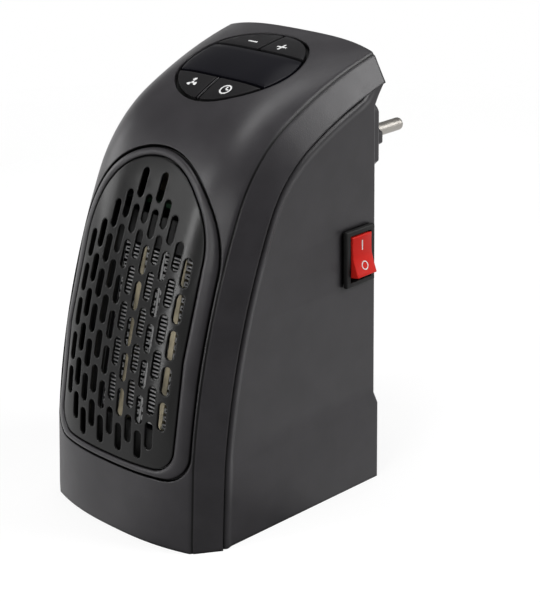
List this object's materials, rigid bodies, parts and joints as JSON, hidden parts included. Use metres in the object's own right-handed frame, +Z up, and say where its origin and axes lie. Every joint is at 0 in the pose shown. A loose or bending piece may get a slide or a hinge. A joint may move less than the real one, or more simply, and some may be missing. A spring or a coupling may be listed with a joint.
{
  "type": "plug-in fan heater",
  "caption": "Black plug-in fan heater with a slotted grille, button panel, red rocker and turning plug.",
  "frame": {"origin": "on the floor below the middle of the housing", "axes": "+Z up, grille towards -Y, plug towards +Y, rocker switch on +X"},
  "size_m": [0.0877, 0.1433, 0.16],
  "materials": {
    "black_shell": "fine matte moulding grain",
    "gloss_black": "polished",
    "smoked_window": "polished, smoked",
    "button_black": "satin",
    "inner_black": "matte moulding",
    "red_rocker": "glossy",
    "nickel_plate": "satin nickel plate",
    "brass_strip": "stamped strip",
    "zinc_steel": "zinc plated",
    "fin_aluminium": "bare sheet",
    "amber_film": "amber insulating film",
    "board_green": "coated laminate",
    "impeller_white": "moulded, uncoloured"
  },
  "bodies": {
    "housing": {"front_shell": "black_shell", "rear_shell": "black_shell", "grille_bezel": "gloss_black", "front_grille": "gloss_black", "display_module": "gloss_black", "display_window": "smoked_window", "panel_frame": "inner_black", "tact_switch_front_left": "inner_black", "tact_switch_front_right": "inner_black", "tact_switch_rear_left": "inner_black", "tact_switch_rear_right": "inner_black", "switch_frame": "inner_black", "contact_holder": "inner_black", "heater_frame": "inner_black", "fan_duct": "inner_black", "power_relay": "inner_black", "driver_chip": "inner_black", "switch_terminal_low": "brass_strip", "switch_terminal_high": "brass_strip", "plug_contact_left": "brass_strip", "plug_contact_right": "brass_strip", "contact_screw_left": "zinc_steel", "contact_screw_right": "zinc_steel", "thermal_cutout": "zinc_steel", "fan_motor": "zinc_steel", "motor_bracket": "zinc_steel", "bracket_screw_left": "zinc_steel", "bracket_screw_right": "zinc_steel", "shell_screw_low_left": "zinc_steel", "shell_screw_low_right": "zinc_steel", "shell_screw_high_left": "zinc_steel", "shell_screw_high_right": "zinc_steel", "heater_fin_outer_left": "fin_aluminium", "heater_fin_outer_right": "fin_aluminium", "heater_fin_inner_left": "fin_aluminium", "heater_fin_inner_right": "fin_aluminium", "electrode_plate_left": "fin_aluminium", "electrode_plate_right": "fin_aluminium", "electrode_plate_middle": "fin_aluminium", "ptc_bar_left": "amber_film", "ptc_bar_right": "amber_film", "filter_capacitor": "amber_film", "control_board": "board_green", "power_board": "board_green", "terminal_block": "impeller_white"},
    "plug": {"plug_body": "black_shell", "plug_pin_left": "nickel_plate", "plug_pin_right": "nickel_plate", "plug_retaining_ring": "zinc_steel"},
    "rotor": {"fan_impeller": "impeller_white", "motor_shaft": "zinc_steel"},
    "rocker": {"switch_rocker": "red_rocker"},
    "minus": {"minus_button": "button_black"},
    "plus": {"plus_button": "button_black"},
    "speed": {"speed_button": "button_black"},
    "timer": {"timer_button": "button_black"}
  },
  "joints": [
    {"name": "plug_turn", "type": "hinge", "parent": "housing", "child": "plug", "pos_m": [0, 0.0416, 0.118], "axis": [0, 1, 0], "range_deg": [-90, 90]},
    {"name": "fan_spin", "type": "hinge", "parent": "housing", "child": "rotor", "pos_m": [0, 0.0085, 0.066], "axis": [0, 1, 0], "continuous": true},
    {"name": "rocker_tilt", "type": "hinge", "parent": "housing", "child": "rocker", "pos_m": [0.0388, 0.0317, 0.0884], "axis": [0, 1, 0], "range_deg": [0, 20]},
    {"name": "minus_press", "type": "slide", "parent": "housing", "child": "minus", "axis": [0, 0.308, -0.9514], "range_m": [0, 0.0004], "stiffness_N_per_m": 200},
    {"name": "plus_press", "type": "slide", "parent": "housing", "child": "plus", "axis": [0, 0.308, -0.9514], "range_m": [0, 0.0004], "stiffness_N_per_m": 200},
    {"name": "speed_press", "type": "slide", "parent": "housing", "child": "speed", "axis": [0, 0.4744, -0.8803], "range_m": [0, 0.0004], "stiffness_N_per_m": 200},
    {"name": "timer_press", "type": "slide", "parent": "housing", "child": "timer", "axis": [0, 0.4744, -0.8803], "range_m": [0, 0.0004], "stiffness_N_per_m": 200}
  ]
}
